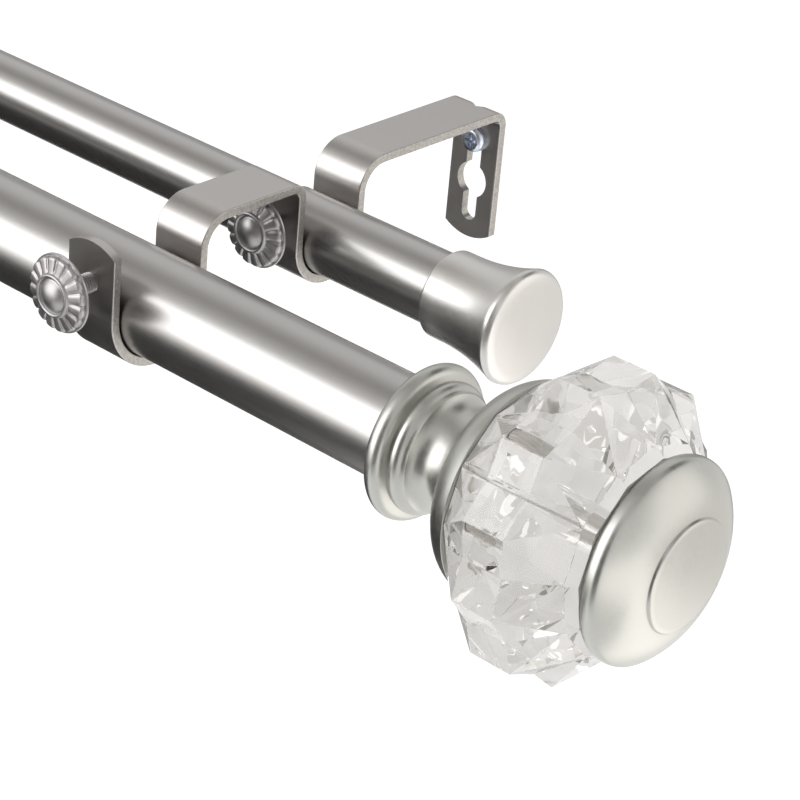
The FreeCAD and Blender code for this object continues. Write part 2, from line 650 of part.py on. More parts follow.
def wall_screw(side, sign):
    label = f"{side}_wall_screw"
    body = new_body(label)
    corners = [
        (None, "wall_screw_front"),
        ("wall_screw_flat_radius", "wall_screw_front", "wall_screw_head_round", "left"),
        ("wall_screw_head_radius", "wall_screw_shoulder"),
        ("wall_screw_head_radius", "wall_screw_under_head"),
        ("wall_screw_neck_radius", "wall_screw_under_head"),
        ("wall_screw_neck_radius", "wall_screw_neck_end"),
        ("wall_screw_radius", "wall_screw_neck_end"),
        ("wall_screw_radius", "wall_screw_reach"),
        (None, "wall_screw_reach"),
    ]
    turned(body, f"{label}_form", corners, "V_Axis")
    recess_sketch = on_plane(body, "XZ_Plane", f"{label}_recess_section")
    recess_sketch.setExpression("AttachmentOffset.Base.z", "-Worked.wall_screw_front")
    arm, side_edge = ("recess_arm", "recess_arm_back"), ("recess_side", "recess_side_back")
    outline(recess_sketch, [
        (side_edge[0], side_edge[0]), (arm[0], side_edge[0]), (arm[0], side_edge[1]),
        (side_edge[0], side_edge[1]), (side_edge[0], arm[1]), (side_edge[1], arm[1]),
        (side_edge[1], side_edge[1]), (arm[1], side_edge[1]), (arm[1], side_edge[0]),
        (side_edge[1], side_edge[0]), (side_edge[1], arm[0]), (side_edge[0], arm[0]),
    ])
    recess = body.newObject("PartDesign::Pocket", f"{label}_recess")
    recess.Profile = recess_sketch
    bind(recess, "Length", "recess_depth")
    body.Tip = recess
    at(body, x="half_spacing", x_sign=sign)
    return finished(body, label)


wall_screw("right", "")
wall_screw("left", "-")


# Finials: a turned collar, a faceted clear crystal, a hidden stud through it and a domed front cap

def facing(side, resting=V(1, 0, 0)):
    """Turns a piece that rests along a direction so that it points out of its own end of the pole."""
    return FreeCAD.Rotation(resting, V(1, 0, 0) if side == "right" else V(-1, 0, 0))


def place_finial(piece, side, sign, offset=None, resting=V(1, 0, 0)):
    """Puts a finial piece on the front pole, its own start a named distance beyond the collar's rear."""
    piece.Placement = FreeCAD.Placement(V(0, 0, 0), facing(side, resting))
    further = f" + {HOME[offset]}.{offset}" if offset else ""
    piece.setExpression("Placement.Base.x", f"{sign}(Worked.collar_rear{further})")
    at(piece, y="front_axis_y", z="front_axis_up")


def collar(side, sign):
    body = new_body(f"{side}_finial_collar")
    bore = f"{side}_collar_bore"
    plug = f"{side}_collar_plug"
    corners = [
        ("collar_plug_end", None),
        ("collar_hole_start", None),
        ("collar_hole_start", "stem_hole_radius"),
        ("collar_length", "stem_hole_radius"),
        ("collar_length", "seat_radius", "lip_round", "left"),
        ("lip_foot_station", "lip_foot_height"),
        ("cup_station", "cup_height", "cove_second_round", "right"),
        ("neck_station", "neck_height", "cove_first_round", "right"),
        ("cove_start_station", "cove_start_height"),
        ("ring_end_station", "ring_end_height", "ring_round", "left"),
        ("ring_foot_station", "ring_foot_height"),
        ("bead_crease_station", "bead_crease_height", "bead_round", "left"),
        ("bead_round", "bead_height", "bead_round", "left"),
        (None, "bead_foot"),
        (None, bore),
        ("collar_socket_depth", bore),
        ("collar_socket_depth", plug),
        ("collar_plug_end", plug),
    ]
    turned(body, f"{side}_collar_form", corners, "H_Axis")
    place_finial(body, side, sign)
    return finished(body, f"{side}_finial_collar")


def ring_points(station, radius, count, turn):
    """Points on a circle about the pole's axis, the first one turned from +Y towards +Z."""
    angles = [turn + i * 2 * math.pi / count for i in range(count)]
    return [V(station, radius * math.cos(angle), radius * math.sin(angle)) for angle in angles]


def facet(*corners):
    return Part.Face(Part.makePolygon(list(corners) + [corners[0]]))


def crystal_blank():
    """Two rings of peaks joined by a fluted girdle, with long facets to the seat and to the front face."""
    count = int(mm("crystal_sides"))
    turn = math.radians(mm("crystal_turn"))
    half = math.pi / count
    peak, valley = mm("crystal_peak_radius"), mm("crystal_valley_radius")
    faces = []
    rings = (
        ("crystal_rear_station", 0.0, "crystal_seat_radius"),
        ("crystal_front_station", mm("crystal_tip_station"), "crystal_tip_radius"),
    )
    girdle = []
    for station_name, tip_station, tip_radius in rings:
        station = mm(station_name)
        peaks = ring_points(station, peak, count, turn)
        valleys = ring_points(station, valley, count, turn + half)
        tips = ring_points(tip_station, mm(tip_radius), count, turn + half)
        girdle.append((peaks, valleys))
        for i in range(count):
            after = (i + 1) % count
            faces.append(facet(peaks[i], valleys[i], tips[i]))
            faces.append(facet(peaks[after], valleys[i], tips[i]))
            faces.append(facet(peaks[after], tips[i], tips[after]))
        if tip_station == 0.0:
            faces.append(facet(*tips))
        else:
            front = ring_points(mm("crystal_length"), mm("crystal_face_radius"), count, turn + half)
            for i in range(count):
                after = (i + 1) % count
                faces.append(facet(tips[i], tips[after], front[after], front[i]))
            faces.append(facet(*front))
    (rear_peaks, rear_valleys), (front_peaks, front_valleys) = girdle
    for i in range(count):
        after = (i + 1) % count
        faces.append(facet(rear_peaks[i], rear_valleys[i], front_valleys[i], front_peaks[i]))
        faces.append(facet(rear_peaks[after], rear_valleys[i], front_valleys[i], front_peaks[after]))
    shell = Part.makeShell(faces)
    shell.sewShape()
    solid = Part.makeSolid(shell)
    return solid if solid.Volume > 0 else solid.reversed()


def crystal(side, sign):
    blank = doc.addObject("Part::Feature", f"{side}_crystal_blank")
    blank.Shape = crystal_blank()
    bore = rod(f"{side}_crystal_bore", "crystal_bore_radius", "crystal_length", V(1, 0, 0))
    bored = doc.addObject("Part::Cut", f"{side}_finial_crystal")
    bored.Base = blank
    bored.Tool = bore
    place_finial(bored, side, sign, "collar_length")
    return finished(bored, f"{side}_finial_crystal")


def stem(side, sign):
    stud = rod(f"{side}_finial_stem", "stem_radius", "stem_length", V(1, 0, 0))
    place_finial(stud, side, sign, "stem_offset", V(0, 0, 1))
    return finished(stud, f"{side}_finial_stem")


def front_cap(side, sign):
    body = new_body(f"{side}_finial_cap")
    corners = [
        ("stem_in_cap", None),
        ("cap_length", None, "button_dome_round", "left"),
        ("button_edge_station", "button_edge_radius", "button_edge_round", "left"),
        ("button_crease_station", "button_crease_radius", "cap_dome_round", "left"),
        ("cap_edge_station", "cap_edge_radius", "cap_edge_round", "left"),
        ("cap_rim_end", "cap_rim_radius"),
        ("cap_rim_start", "cap_rim_radius", "cap_back_round", "left"),
        (None, "cap_back_radius"),
        (None, "stem_hole_radius"),
        ("stem_in_cap", "stem_hole_radius"),
    ]
    turned(body, f"{side}_cap_form", corners, "H_Axis")
    place_finial(body, side, sign, "cap_offset")
    return finished(body, f"{side}_finial_cap")


for side, sign in (("right", ""), ("left", "-")):
    collar(side, sign)
    crystal(side, sign)
    stem(side, sign)
    front_cap(side, sign)


# Trumpet caps that close the back pole

def trumpet_cap(side, sign):
    body = new_body(f"{side}_end_cap")
    bore = f"{side}_trumpet_bore"
    corners = [
        ("trumpet_socket_depth", None),
        ("trumpet_length", None, "trumpet_face_round", "left"),
        ("trumpet_edge_station", "trumpet_edge_radius", "trumpet_edge_round", "left"),
        ("trumpet_flare_station", "trumpet_flare_radius", "trumpet_flare_round", "right"),
        ("trumpet_waist_station", "trumpet_waist_radius"),
        ("trumpet_rim_round", "trumpet_waist_radius", "trumpet_rim_round", "left"),
        (None, "trumpet_rim_radius"),
        (None, bore),
        ("trumpet_socket_depth", bore),
    ]
    turned(body, f"{side}_end_cap_form", corners, "H_Axis")
    body.Placement = FreeCAD.Placement(V(0, 0, 0), facing(side))
    at(body, x="trumpet_rim", y="back_axis_y", z="back_axis_up", x_sign=sign)
    return finished(body, f"{side}_end_cap")


trumpet_cap("right", "")
trumpet_cap("left", "-")

doc.recompute()

# Every object is sound before any file is written

for item in doc.Objects:
    if "Invalid" in item.State or "Error" in item.State:
        raise RuntimeError(f"{item.Label} did not build: {item.State}")
for piece in nodes:
    if piece.Shape.isNull() or not piece.Shape.isValid():
        raise RuntimeError(f"{piece.Label} has no valid shape")
    if len(piece.Shape.Solids) != 1:
        raise RuntimeError(f"{piece.Label} is not one solid")

os.makedirs("parts", exist_ok=True)
for piece in nodes:
    piece.Shape.exportStep(f"parts/{piece.Label}.step")
print(len(nodes), "sub-parts written")
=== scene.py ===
import math

import bmesh
import bpy
from mathutils import Matrix, Vector


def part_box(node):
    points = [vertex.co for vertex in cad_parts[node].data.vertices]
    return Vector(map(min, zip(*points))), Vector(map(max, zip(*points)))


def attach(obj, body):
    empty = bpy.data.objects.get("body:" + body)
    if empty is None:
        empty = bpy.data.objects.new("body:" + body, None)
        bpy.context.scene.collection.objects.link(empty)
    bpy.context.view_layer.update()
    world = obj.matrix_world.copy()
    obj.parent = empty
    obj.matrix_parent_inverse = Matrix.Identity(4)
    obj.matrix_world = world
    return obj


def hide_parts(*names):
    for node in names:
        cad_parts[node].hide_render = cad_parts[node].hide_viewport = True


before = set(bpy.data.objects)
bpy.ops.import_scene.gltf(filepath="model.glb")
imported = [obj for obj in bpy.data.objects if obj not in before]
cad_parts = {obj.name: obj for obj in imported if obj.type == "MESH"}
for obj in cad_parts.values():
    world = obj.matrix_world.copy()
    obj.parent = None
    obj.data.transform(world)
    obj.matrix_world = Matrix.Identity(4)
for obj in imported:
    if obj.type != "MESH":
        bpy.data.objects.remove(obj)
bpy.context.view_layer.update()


# Camera: it looks at the right end of the poles from above, through a long lens.
# It is rolled and shifted a little, so that the poles run out of the frame on the left.

AZIMUTH = math.radians(41.47)
ELEVATION = math.radians(26.92)
ROLL = math.radians(4.53)
CAMERA_PLACE = (0.6821, -0.5421, 0.2870)
SENSOR_WIDTH = 36
LENS_LENGTH = 124.68
SHIFT_RIGHT = 0.0818
SHIFT_UP = -0.0771

back = Vector((
    math.sin(AZIMUTH) * math.cos(ELEVATION),
    -math.cos(AZIMUTH) * math.cos(ELEVATION),
    math.sin(ELEVATION),
))
level_right = (-back).cross(Vector((0, 0, 1))).normalized()
level_up = level_right.cross(-back)
right = level_right * math.cos(ROLL) + level_up * math.sin(ROLL)
up = level_up * math.cos(ROLL) - level_right * math.sin(ROLL)

lens = bpy.data.cameras.new("camera")
lens.sensor_width = SENSOR_WIDTH
lens.lens = LENS_LENGTH
lens.shift_x = SHIFT_RIGHT
lens.shift_y = SHIFT_UP
camera = bpy.data.objects.new("camera", lens)
camera_turn = Matrix((right, up, back)).transposed().to_4x4()
camera.matrix_world = Matrix.Translation(CAMERA_PLACE) @ camera_turn
bpy.context.scene.collection.objects.link(camera)
bpy.context.scene.camera = camera
bpy.context.scene.view_settings.view_transform = "Standard"


# Room and floor: a plain white studio with a sheet of pale paper under the poles.
# The camera, metal and glass see it as pure white, while it lights the object more softly.
# The paper keeps the object's shadow.

ROOM_LIGHT = 0.6
FLOOR_LEVEL = -1.0
FLOOR_REACH = 9.0
FLOOR_PAPER = (0.86, 0.86, 0.86, 1)
FLOOR_LIFT = 0.5


def feed(tree, value, socket):
    """Gives a socket a plain value or another node's output."""
    if isinstance(value, bpy.types.NodeSocket):
        tree.links.new(value, socket)
    else:
        socket.default_value = value


def maths(tree, operation, *values):
    """The result of a Math node."""
    node = tree.nodes.new("ShaderNodeMath")
    node.operation = operation
    for value, socket in zip(values, node.inputs):
        feed(tree, value, socket)
    return node.outputs[0]


def mapped(tree, value, from_low, from_high, to_low, to_high):
    """The value moved from one range into another, and held inside it."""
    node = tree.nodes.new("ShaderNodeMapRange")
    feed(tree, value, node.inputs["Value"])
    feed(tree, from_low, node.inputs["From Min"])
    feed(tree, from_high, node.inputs["From Max"])
    feed(tree, to_low, node.inputs["To Min"])
    feed(tree, to_high, node.inputs["To Max"])
    return node.outputs["Result"]


def seen_directly(tree):
    """1 for camera, glossy and transmission rays, which see the white background, and 0 for the rest."""
    path = tree.nodes.new("ShaderNodeLightPath")
    mirrored = maths(tree, "MAXIMUM", path.outputs["Is Glossy Ray"], path.outputs["Is Transmission Ray"])
    return maths(tree, "MAXIMUM", path.outputs["Is Camera Ray"], mirrored)


room = bpy.data.worlds.new("white_room")
room.use_nodes = True
bpy.context.scene.world = room
room_tree = room.node_tree
walls = room_tree.nodes["Background"]
walls.inputs["Color"].default_value = (1, 1, 1, 1)
feed(room_tree, mapped(room_tree, seen_directly(room_tree), 0, 1, ROOM_LIGHT, 1), walls.inputs["Strength"])


def stage_sheet(name, low, high, material):
    """A flat sheet of the studio between two opposite corners, flat along the axis that they share."""
    flat = [low[axis] == high[axis] for axis in range(3)].index(True)
    across, along = [axis for axis in range(3) if axis != flat]
    bm = bmesh.new()
    rim = []
    for first, second in ((low, low), (high, low), (high, high), (low, high)):
        corner = list(low)
        corner[across], corner[along] = first[across], second[along]
        rim.append(bm.verts.new(corner))
    bm.faces.new(rim)
    mesh = bpy.data.meshes.new(name)
    bm.to_mesh(mesh)
    bm.free()
    mesh.materials.append(material)
    sheet = bpy.data.objects.new(name, mesh)
    bpy.context.scene.collection.objects.link(sheet)
    return sheet


floor_white = bpy.data.materials.new("floor_white")
floor_white.use_nodes = True
floor_tree = floor_white.node_tree
floor_tree.nodes.clear()
paper = floor_tree.nodes.new("ShaderNodeBsdfDiffuse")
paper.inputs["Color"].default_value = FLOOR_PAPER
glow = floor_tree.nodes.new("ShaderNodeEmission")
feed(floor_tree, maths(floor_tree, "MULTIPLY", seen_directly(floor_tree), FLOOR_LIFT), glow.inputs["Strength"])
both = floor_tree.nodes.new("ShaderNodeAddShader")
floor_out = floor_tree.nodes.new("ShaderNodeOutputMaterial")
floor_tree.links.new(paper.outputs[0], both.inputs[0])
floor_tree.links.new(glow.outputs[0], both.inputs[1])
floor_tree.links.new(both.outputs[0], floor_out.inputs["Surface"])
stage_sheet(
    "floor", (-FLOOR_REACH, -FLOOR_REACH, FLOOR_LEVEL), (FLOOR_REACH, FLOOR_REACH, FLOOR_LEVEL), floor_white,
)


# Studio boards: polished metal shows what stands round it. A dark table lies below the poles and a grey
# ceiling hangs above, boards stand behind and in front, and bright ones surround the right end.
# Only mirroring surfaces see them.

BOARD_LIGHT = (1.0, 0.975, 0.95, 1)


def board(name, low, high, brightness, fade=None):
    """A glowing board. A fade is a place along Y, the distances from it where the change starts and ends,
    and the brightness beyond."""
    glowing = bpy.data.materials.new(name)
    glowing.use_nodes = True
    tree = glowing.node_tree
    tree.nodes.clear()
    face = tree.nodes.new("ShaderNodeEmission")
    face.inputs["Color"].default_value = BOARD_LIGHT
    face.inputs["Strength"].default_value = brightness
    if fade:
        line, start, end, far_brightness = fade
        place = tree.nodes.new("ShaderNodeTexCoord")
        apart = tree.nodes.new("ShaderNodeSeparateXYZ")
        tree.links.new(place.outputs["Object"], apart.inputs[0])
        distance = maths(tree, "ABSOLUTE", maths(tree, "SUBTRACT", apart.outputs["Y"], line))
        feed(tree, mapped(tree, distance, start, end, brightness, far_brightness), face.inputs["Strength"])
    out = tree.nodes.new("ShaderNodeOutputMaterial")
    tree.links.new(face.outputs[0], out.inputs["Surface"])
    sheet = stage_sheet(name, low, high, glowing)
    for ray in ("camera", "diffuse", "transmission", "volume_scatter", "shadow"):
        setattr(sheet, f"visible_{ray}", False)


board("dark_table", (-4, -3, -0.35), (0.13, 0.15, -0.35), 0.04, fade=(-0.16, 0.28, 1.9, 1.6))
board("table_shade", (-0.6, -0.85, -0.345), (0.13, 0.1, -0.345), 0.04)
board("grey_ceiling", (-4, -0.75, 1.2), (2, 0.65, 1.2), 0.44, fade=(-0.1, 0, 0.75, 1.0))
board("back_board_low", (-6, 1.5, -0.99), (0, 1.5, -0.35), 0.08)
board("back_board_high", (-6, 1.5, -0.35), (0, 1.5, 0.7), 0.5)
board("front_shade", (0.3, -1.75, -0.95), (1.9, -1.75, 1.6), 0.15)
board("bright_side", (2, -1.5, -0.95), (2, 0.2, 0), 2.0)
board("bright_board", (0.45, -0.1, -0.36), (2.5, 2.5, -0.36), 2.2, fade=(0, 0.1, 0.4, 1.15))
board("bright_corner", (2, 0.2, -0.2), (2, 3, 1.6), 1.7)
board("dark_ceiling", (0.25, 0.5, 1.25), (1.3, 2, 1.25), 0.1)


# Softbox: one long box of light in front of the poles, a little above them and facing them.
# Metal and crystal mirror it, but it isn't seen through the crystal, whose facets stay calm.

SOFTBOX_WIDTH = 2.9
SOFTBOX_HEIGHT = 1.9
SOFTBOX_BRIGHTNESS = 2.4
SOFTBOX_ELEVATION = math.radians(21)
SOFTBOX_DISTANCE = 1.8
SOFTBOX_AIM_X = -1.15
SOFTBOX_AIM_Y = -0.1

softbox = bpy.data.lights.new("softbox", "AREA")
softbox.shape = "RECTANGLE"
softbox.size = SOFTBOX_WIDTH
softbox.size_y = SOFTBOX_HEIGHT
softbox.energy = SOFTBOX_BRIGHTNESS * math.pi * SOFTBOX_WIDTH * SOFTBOX_HEIGHT
softbox_object = bpy.data.objects.new("softbox", softbox)
softbox_object.rotation_euler = (math.pi / 2 - SOFTBOX_ELEVATION, 0, 0)
softbox_object.location = (
    SOFTBOX_AIM_X,
    SOFTBOX_AIM_Y - SOFTBOX_DISTANCE * math.cos(SOFTBOX_ELEVATION),
    SOFTBOX_DISTANCE * math.sin(SOFTBOX_ELEVATION),
)
softbox_object.visible_transmission = False
bpy.context.scene.collection.objects.link(softbox_object)


# Poles: four thin steel tubes, rolled, welded and polished along their length, then plated in satin nickel.
# Each inner tube slides in its outer one, so that the poles fit windows of several widths.

MM = 0.001
FRONT_TUBE_WALL = 0.6
BACK_TUBE_WALL = 0.5
TUBE_EDGE = 0.15
TUBE_SIDES = 144
GRAIN_HEIGHT = 0.02
GRAIN_LOW = 0.35
GRAIN_HIGH = 0.65

polish = bpy.data.node_groups.new("polish_grain", "ShaderNodeTree")
for socket_name, direction, kind in (
    ("Grain Scale", "INPUT", "Vector"),
    ("Cloud Scale", "INPUT", "Vector"),
    ("Low", "INPUT", "Float"),
    ("High", "INPUT", "Float"),
    ("Colour", "INPUT", "Color"),
    ("Mottle", "INPUT", "Float"),
    ("Height", "OUTPUT", "Float"),
    ("Roughness", "OUTPUT", "Float"),
    ("Tinted", "OUTPUT", "Color"),
):
    polish.interface.new_socket(name=socket_name, in_out=direction, socket_type=f"NodeSocket{kind}")
given = polish.nodes.new("NodeGroupInput")
made = polish.nodes.new("NodeGroupOutput")
place = polish.nodes.new("ShaderNodeTexCoord")
noises = []
for scale_name, detail in (("Grain Scale", 3.0), ("Cloud Scale", 2.0)):
    stretch = polish.nodes.new("ShaderNodeVectorMath")
    stretch.operation = "MULTIPLY"
    polish.links.new(place.outputs["Object"], stretch.inputs[0])
    polish.links.new(given.outputs[scale_name], stretch.inputs[1])
    noise = polish.nodes.new("ShaderNodeTexNoise")
    noise.inputs["Scale"].default_value = 1.0
    noise.inputs["Detail"].default_value = detail
    polish.links.new(stretch.outputs["Vector"], noise.inputs["Vector"])
    noises.append(noise.outputs["Fac"])
grain, cloud = noises
mean = maths(polish, "MULTIPLY", maths(polish, "ADD", grain, cloud), 0.5)
roughness = mapped(polish, mean, GRAIN_LOW, GRAIN_HIGH, given.outputs["Low"], given.outputs["High"])
darkest = maths(polish, "SUBTRACT", 1.0, given.outputs["Mottle"])
shade = polish.nodes.new("ShaderNodeVectorMath")
shade.operation = "SCALE"
polish.links.new(given.outputs["Colour"], shade.inputs[0])
polish.links.new(mapped(polish, mean, GRAIN_LOW, GRAIN_HIGH, darkest, 1.0), shade.inputs["Scale"])
polish.links.new(grain, made.inputs["Height"])
polish.links.new(roughness, made.inputs["Roughness"])
polish.links.new(shade.outputs["Vector"], made.inputs["Tinted"])


def satin_metal(name, colour, roughness, grain_scale, cloud_scale, bump, mottle):
    """A metal with fine grain in its roughness, colour and height. The scales are per metre along X, Y and Z."""
    metal = bpy.data.materials.new(name)
    metal.use_nodes = True
    tree = metal.node_tree
    shader = tree.nodes["Principled BSDF"]
    shader.inputs["Metallic"].default_value = 1.0
    surface = tree.nodes.new("ShaderNodeGroup")
    surface.node_tree = polish
    surface.inputs["Grain Scale"].default_value = grain_scale
    surface.inputs["Cloud Scale"].default_value = cloud_scale
    surface.inputs["Low"].default_value, surface.inputs["High"].default_value = roughness
    surface.inputs["Colour"].default_value = (*colour, 1)
    surface.inputs["Mottle"].default_value = mottle
    relief = tree.nodes.new("ShaderNodeBump")
    relief.inputs["Strength"].default_value = bump
    relief.inputs["Distance"].default_value = GRAIN_HEIGHT * MM
    tree.links.new(surface.outputs["Tinted"], shader.inputs["Base Color"])
    tree.links.new(surface.outputs["Roughness"], shader.inputs["Roughness"])
    tree.links.new(surface.outputs["Height"], relief.inputs["Height"])
    tree.links.new(relief.outputs["Normal"], shader.inputs["Normal"])
    return metal


tube_nickel = satin_metal(
    "tube_nickel", colour=(0.42, 0.41, 0.40), roughness=(0.285, 0.325),
    grain_scale=(220, 1400, 1400), cloud_scale=(12, 70, 70), bump=0.05, mottle=0.03,
)


def spun(profile, steps, axis=Vector((1, 0, 0))):
    """A mesh turned about an axis from (station, radius) points in millimetres.
    It closes on the axis where it starts there, and otherwise on itself."""
    bm = bmesh.new()
    side = Vector((0, 0, 1))
    rim = [bm.verts.new((axis * station + side * radius) * MM) for station, radius in profile]
    pairs = list(zip(rim, rim[1:]))
    if profile[0][1] > 0:
        pairs.append((rim[-1], rim[0]))
    line = [bm.edges.new(pair) for pair in pairs]
    bmesh.ops.spin(
        bm, geom=rim + line, cent=(0, 0, 0), axis=axis, angle=2 * math.pi, steps=steps, use_merge=True,
    )
    bmesh.ops.remove_doubles(bm, verts=bm.verts, dist=0.0001 * MM)
    bmesh.ops.recalc_face_normals(bm, faces=bm.faces)
    return bm


def crisp(bm, angle=32):
    """Smooth surfaces, with every edge that turns by more than the angle kept crisp."""
    for face in bm.faces:
        face.smooth = True
    for edge in bm.edges:
        edge.smooth = edge.calc_face_angle(0) < math.radians(angle)


def piece_from(bm, name, material):
    """Makes the mesh a piece of the scene in its finish."""
    mesh = bpy.data.meshes.new(name)
    bm.to_mesh(mesh)
    bm.free()
    mesh.materials.append(material)
    piece = bpy.data.objects.new(name, mesh)
    bpy.context.scene.collection.objects.link(piece)
    return piece


def stand_in_for(piece, node, body):
    """The finished piece shows instead of the plain solid and moves with the same body."""
    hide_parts(node)
    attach(piece, body)


for node, wall, body in (
    ("front_outer_tube", FRONT_TUBE_WALL, "root"),
    ("front_inner_tube", FRONT_TUBE_WALL, "front_extension"),
    ("back_outer_tube", BACK_TUBE_WALL, "root"),
    ("back_inner_tube", BACK_TUBE_WALL, "back_extension"),
):
    low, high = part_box(node)
    outside = (high[2] - low[2]) / 2 / MM
    inside = outside - wall
    length = (high[0] - low[0]) / MM
    bm = spun([
        (TUBE_EDGE, outside), (length - TUBE_EDGE, outside), (length, outside - TUBE_EDGE),
        (length, inside), (0, inside), (0, outside - TUBE_EDGE),
    ], TUBE_SIDES)
    bmesh.ops.translate(bm, verts=bm.verts, vec=(low[0], (low[1] + high[1]) / 2, (low[2] + high[2]) / 2))
    crisp(bm)
    stand_in_for(piece_from(bm, f"{node}_polished", tube_nickel), node, body)


# Brackets: a steel strap bent to a wall plate, an arm and two saddles, and plated.
# Its two long edges were sheared from sheet, so they are rougher, speckled and catch more light.

EDGE_COLOUR = (0.43, 0.415, 0.39)
EDGE_ROUGHNESS = 0.48
EDGE_SPECKLE_SCALE = 1400
EDGE_SPECKLE = (0.72, 1.08)
EDGE_STARTS_FACING = 0.6
EDGE_WHOLLY_FACING = 0.95
NOISE_LOW = 0.3
NOISE_HIGH = 0.7


def surface_noise(tree, scale, detail=2.0):
    """Noise on the piece's own coordinates."""
    place = tree.nodes.new("ShaderNodeTexCoord")
    noise = tree.nodes.new("ShaderNodeTexNoise")
    noise.inputs["Scale"].default_value = scale
    noise.inputs["Detail"].default_value = detail
    tree.links.new(place.outputs["Object"], noise.inputs["Vector"])
    return noise.outputs["Fac"]


def mixed(tree, factor, first, second, blend="MIX"):
    """Two colours mixed by a factor."""
    node = tree.nodes.new("ShaderNodeMix")
    node.data_type = "RGBA"
    node.blend_type = blend
    feed(tree, factor, node.inputs["Factor"])
    feed(tree, first, node.inputs["A"])
    feed(tree, second, node.inputs["B"])
    return node.outputs["Result"]


def dress(node, material):
    """Gives a CAD node its finish."""
    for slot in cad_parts[node].material_slots:
        slot.material = material


strap_nickel = satin_metal(
    "strap_nickel", colour=(0.43, 0.412, 0.398), roughness=(0.285, 0.33),
    grain_scale=(1300, 1300, 1300), cloud_scale=(70, 70, 70), bump=0.1, mottle=0.05,
)
strap_tree = strap_nickel.node_tree
strap_shader = strap_tree.nodes["Principled BSDF"]
strap_surface = strap_tree.nodes["Group"]
strap_place = strap_tree.nodes.new("ShaderNodeTexCoord")
strap_facing = strap_tree.nodes.new("ShaderNodeSeparateXYZ")
strap_tree.links.new(strap_place.outputs["Normal"], strap_facing.inputs[0])
facing_along = maths(strap_tree, "ABSOLUTE", strap_facing.outputs["X"])
sheared = mapped(strap_tree, facing_along, EDGE_STARTS_FACING, EDGE_WHOLLY_FACING, 0, 1)
edge_tint = mixed(strap_tree, sheared, strap_surface.outputs["Tinted"], (*EDGE_COLOUR, 1))
edge_noise = surface_noise(strap_tree, EDGE_SPECKLE_SCALE)
speckle = mapped(strap_tree, edge_noise, NOISE_LOW, NOISE_HIGH, *EDGE_SPECKLE)
feed(strap_tree, mixed(strap_tree, sheared, edge_tint, speckle, "MULTIPLY"), strap_shader.inputs["Base Color"])
strap_roughness = mapped(strap_tree, sheared, 0, 1, strap_surface.outputs["Roughness"], EDGE_ROUGHNESS)
feed(strap_tree, strap_roughness, strap_shader.inputs["Roughness"])

for side in ("right", "left"):
    dress(f"{side}_bracket", strap_nickel)


# Thumbscrews: rosette heads cast with sixteen petals round a ringed dome, on coarse-threaded shanks.
# Each goes through the outer wall of a saddle and clamps the pole; its head faces the room.

ROSETTE_RADIUS = 9.8
FLANGE = 0.7
FLANGE_EDGE = 0.15
PETAL_REACH = 9.3
PETAL_RIM = 1.3
PETAL_ROUND = 0.8
PETAL_SLOPE = math.tan(math.radians(12))
PETALS = 16
STEPS_PER_PETAL = 14
PETAL_GROOVE = 0.5
GROOVE_START = 5.2
GROOVE_RUN_IN = 1.2
RIM_SCALLOP = 0.4
BOSS_RADIUS = 5.5
RING_MIDDLE = 4.9
RING_LEVEL = 2.85
RING_ROUND = 0.55
DOME_RADIUS = 4.0
DOME_LEVEL = 2.8
HEAD_HEIGHT = 4.5
SHANK_RADIUS = 2.5
THREAD_PITCH = 0.8
THREAD_DEPTH = 0.4
THREAD_SIDES = 40

rosette_nickel = satin_metal(
    "rosette_nickel", colour=(0.40, 0.383, 0.385), roughness=(0.36, 0.46),
    grain_scale=(700, 700, 700), cloud_scale=(160, 160, 160), bump=0.3, mottle=0.14,
)


def rounded(height, radius, bend, start, end, count):
    """(height, radius) points round a bend, from one angle in degrees to another; 0 faces out and 90 faces up."""
    angles = [math.radians(start + (end - start) * i / count) for i in range(count + 1)]
    return [(height + bend * math.sin(angle), radius + bend * math.cos(angle)) for angle in angles]


